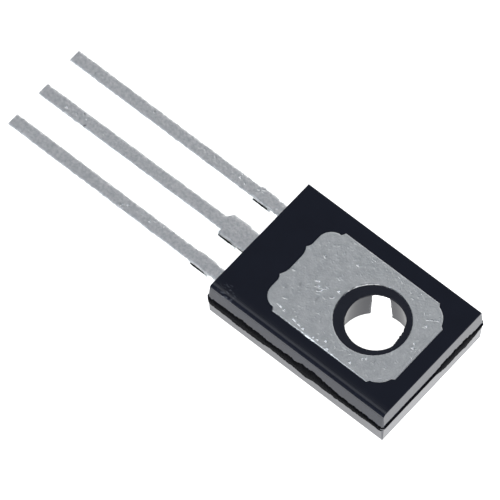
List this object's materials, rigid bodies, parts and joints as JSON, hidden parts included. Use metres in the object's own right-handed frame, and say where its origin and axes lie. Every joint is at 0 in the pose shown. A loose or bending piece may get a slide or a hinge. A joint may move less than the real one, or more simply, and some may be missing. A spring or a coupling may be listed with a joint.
{
  "type": "power transistor",
  "caption": "Flat-pack power transistor with a bare metal mounting face, a moulded screw hole and straight flat leads, lying on its plastic front.",
  "frame": {"origin": "on the axis of the mounting hole, in the plane of the bare metal face", "axes": "+Z out of the metal face, +Y towards the hole end of the case; the leads run to -Y and +X is the emitter's side"},
  "size_m": [0.0075, 0.0244, 0.0025],
  "materials": {
    "epoxy": "satin moulded epoxy",
    "tinned_copper": "matt tin plate on copper strip",
    "silicon": "polished chip",
    "solder": "satin",
    "aluminium_wire": "drawn"
  },
  "bodies": {
    "root": {"case": "epoxy", "collector_frame": "tinned_copper", "base_lead": "tinned_copper", "emitter_lead": "tinned_copper", "silicon_die": "silicon", "die_solder": "solder", "base_wire": "aluminium_wire", "emitter_wire": "aluminium_wire"}
  },
  "joints": []
}
